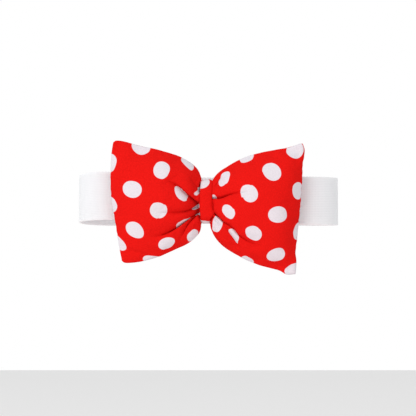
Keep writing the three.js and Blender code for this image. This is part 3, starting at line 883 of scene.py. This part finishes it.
def dotted_cotton():
    n = Nodes("dotted_cotton")
    cloth = n.node("ShaderNodeUVMap", uv_map="cloth").outputs["UV"]
    axes = n.node("ShaderNodeSeparateXYZ", {"Vector": cloth})
    s, t = axes.outputs["X"], axes.outputs["Y"]

    def distance_to_dots(shift_s, shift_t):
        ds = n.math("WRAP", n.math("SUBTRACT", s, shift_s), DOT_COLUMN, -DOT_COLUMN)
        dt = n.math("WRAP", n.math("SUBTRACT", t, shift_t), DOT_ROW / 2, -DOT_ROW / 2)
        return n.math("SQRT", n.math("ADD", n.math("MULTIPLY", ds, ds), n.math("MULTIPLY", dt, dt)))

    distance = n.math("MINIMUM", distance_to_dots(0, 0), distance_to_dots(DOT_COLUMN, DOT_ROW / 2))
    dot = n.range(distance, DOT_RADIUS + 0.12, DOT_RADIUS - 0.12)

    pitch = 0.42
    warp = n.math("SINE", n.math("MULTIPLY", s, 2 * math.pi / pitch))
    weft = n.math("SINE", n.math("MULTIPLY", t, 2 * math.pi / pitch))
    weave = n.range(n.math("MULTIPLY", warp, weft), -1.0, 1.0)
    drawn_out = n.node("ShaderNodeVectorMath", {0: cloth, 1: (6.0, 0.6, 1.0)}, operation="MULTIPLY")
    slub = n.noise(drawn_out.outputs[0], 1.0)
    mottle = n.range(n.noise(cloth, 1.4, 3.0), 0.3, 0.7)
    worn = n.math("MULTIPLY", n.math("ADD", weave, n.math("ADD", slub, mottle)), 1 / 3)
    red = n.mix(worn, (0.54, 0.006, 0.004, 1), (0.80, 0.0105, 0.0085, 1))
    white = n.mix(worn, (0.60, 0.56, 0.60, 1), (0.735, 0.70, 0.742, 1))
    n.put(n.shader.inputs["Base Color"], n.mix(dot, red, white))
    n.bump(n.math("ADD", weave, n.math("MULTIPLY", slub, 0.5)), 0.05 * MM, 0.6)
    return n.finish(0.9, 0.0, 0.02)


def woven_elastic():
    n = Nodes("woven_elastic")
    cloth = n.node("ShaderNodeUVMap", uv_map="cloth").outputs["UV"]
    axes = n.node("ShaderNodeSeparateXYZ", {"Vector": cloth})
    along, across = axes.outputs["X"], axes.outputs["Y"]
    rib = n.math("SINE", n.math("MULTIPLY", across, 2 * math.pi / 0.9))
    turns = n.math("MULTIPLY", along, 2 * math.pi / 0.8)
    pick = n.math("SINE", n.math("ADD", turns, n.math("MULTIPLY", rib, 1.2)))
    weave = n.range(n.math("ADD", n.math("MULTIPLY", rib, 0.6), n.math("MULTIPLY", pick, 0.5)), -1.1, 1.1)
    worn = n.math("MULTIPLY", n.math("ADD", weave, n.noise(cloth, 3.0)), 0.5)
    n.put(n.shader.inputs["Base Color"], n.mix(worn, (0.63, 0.64, 0.66, 1), (0.71, 0.72, 0.735, 1)))
    n.bump(weave, 0.08 * MM, 0.5)
    n.let_light_through(0.9, 3 * MM)
    return n.finish(0.8, 0.1, 0.2)


def spun_thread(name, dark, light):
    n = Nodes(name)
    place = n.node("ShaderNodeTexCoord").outputs["Object"]
    inputs = {"Vector": place, "Scale": 900.0, "Distortion": 1.0}
    wave = n.node("ShaderNodeTexWave", inputs, bands_direction="DIAGONAL")
    n.put(n.shader.inputs["Base Color"], n.mix(wave.outputs["Fac"], dark, light))
    n.bump(wave.outputs["Fac"], 0.05 * MM, 0.6)
    return n.finish(0.6, 0.1, 0.3)


def loose_fibre():
    n = Nodes("loose_fibre")
    place = n.node("ShaderNodeTexCoord").outputs["Object"]
    strands = n.noise(place, 900.0, 6.0)
    n.put(n.shader.inputs["Base Color"], n.mix(strands, (0.78, 0.77, 0.74, 1), (0.92, 0.91, 0.89, 1)))
    n.bump(strands, 0.4 * MM, 0.8)
    return n.finish(0.95, 0.3, 0.1)


# ------------------------------------------------------------------ studio


TARGET = Vector(WAIST * MM) + Vector((0.87, -3.0, -3.3)) * MM
CAMERA_DISTANCE = 0.8
LOOKING_UP = math.radians(3.6)  # the camera is a little below the bow
HALF_VIEW = 0.1061  # half the width of the picture at the bow
SENSOR_WIDTH = 36
FLOOR_HALF = 4000  # mm, as the level
FLOOR_LEVEL = -250
AMBIENT = 0.86


def camera():
    view = bpy.data.objects.new("camera", bpy.data.cameras.new("camera"))
    view.location = TARGET - CAMERA_DISTANCE * Vector((0, math.cos(LOOKING_UP), math.sin(LOOKING_UP)))
    view.rotation_euler = (math.pi / 2 + LOOKING_UP, 0, 0)
    view.data.sensor_width = SENSOR_WIDTH
    view.data.lens = SENSOR_WIDTH / 2 * CAMERA_DISTANCE / HALF_VIEW
    bpy.context.scene.collection.objects.link(view)
    bpy.context.scene.camera = view


def floor():
    signs = ((-1, -1), (1, -1), (1, 1), (-1, 1))
    corners = [(x * FLOOR_HALF, y * FLOOR_HALF, FLOOR_LEVEL) for x, y in signs]
    plane = new_object("floor", corners, [(0, 1, 2, 3)])
    n = Nodes("pale_floor")
    n.shader.inputs["Base Color"].default_value = (0.85, 0.85, 0.85, 1)
    n.shader.inputs["Roughness"].default_value = 0.9
    plane.data.materials.append(n.material)


def lamp(name, place, size, power, colour):
    """A square lamp that faces the bow, with its place and size in metres and its power in watts."""
    light = bpy.data.objects.new(name, bpy.data.lights.new(name, "AREA"))
    light.data.color = colour
    light.data.size = size
    light.data.energy = power
    light.location = place
    light.rotation_euler = (TARGET - Vector(place)).to_track_quat("-Z", "Y").to_euler()
    bpy.context.scene.collection.objects.link(light)


def surroundings():
    """Even white light from all round, in front of a backdrop that the camera sees as plain white."""
    world = bpy.data.worlds.new("world")
    bpy.context.scene.world = world
    world.use_nodes = True
    tree = world.node_tree
    plain = tree.nodes["Background"]
    plain.inputs["Strength"].default_value = AMBIENT
    bright = tree.nodes.new("ShaderNodeBackground")
    for background in (plain, bright):
        background.inputs["Color"].default_value = (1, 1, 1, 1)
    rays = tree.nodes.new("ShaderNodeLightPath")
    mix = tree.nodes.new("ShaderNodeMixShader")
    tree.links.new(rays.outputs["Is Camera Ray"], mix.inputs[0])
    tree.links.new(plain.outputs[0], mix.inputs[1])
    tree.links.new(bright.outputs[0], mix.inputs[2])
    tree.links.new(mix.outputs[0], tree.nodes["World Output"].inputs[0])


def studio():
    camera()
    floor()
    lamp("key", (-1.6, -2.4, 1.4), 2.0, 45.0, (1, 1, 1))
    lamp("fill_from_right", (1.5, -1.6, 0.3), 1.0, 1.5, (1, 1, 1))
    lamp("fill_from_below", (0.0, -0.22, -0.2), 0.08, 0.1, (1, 0.45, 0.4))
    surroundings()
    bpy.context.scene.view_settings.view_transform = "Standard"


# ------------------------------------------------------------------ assembly

COTTON = dotted_cotton()
ELASTIC = woven_elastic()
RED_THREAD = spun_thread("red_thread", (0.5, 0.01, 0.008, 1), (0.75, 0.03, 0.02, 1))
WHITE_THREAD = spun_thread("white_thread", (0.7, 0.7, 0.7, 1), (0.92, 0.92, 0.92, 1))
FIBRE = loose_fibre()

for wing, name in ((LEFT, "left"), (RIGHT, "right")):
    for make, node in ((front_panel, f"{name}_front_panel"), (back_panel, f"{name}_back_panel")):
        piece = make(wing, name)
        piece.name = piece.data.name = f"{node}_cloth"
        piece.data.materials.append(COTTON)
        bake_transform(piece)
        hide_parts(node)

    fibre = filling(wing, name)
    fibre.data.materials.append(FIBRE)
    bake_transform(fibre)
    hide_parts(f"{name}_filling")

wrap = knot_wrap()
wrap.data.materials.append(COTTON)
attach(wrap, "knot")
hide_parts("knot_wrap")

gathers = waist_gathers()
gathers.data.materials.append(COTTON)
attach(gathers, "knot")
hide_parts("waist_gathers")

band = elastic_band()
band.data.materials.append(ELASTIC)
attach(band, "neck_band")
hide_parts("elastic_band")

for node, material in (
    ("band_join_stitching", WHITE_THREAD),
    ("wrap_closing_stitches", RED_THREAD),
    ("gather_thread", RED_THREAD),
    ("left_seam_thread", RED_THREAD),
    ("right_seam_thread", RED_THREAD),
):
    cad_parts[node].data.materials.clear()
    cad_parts[node].data.materials.append(material)

studio()
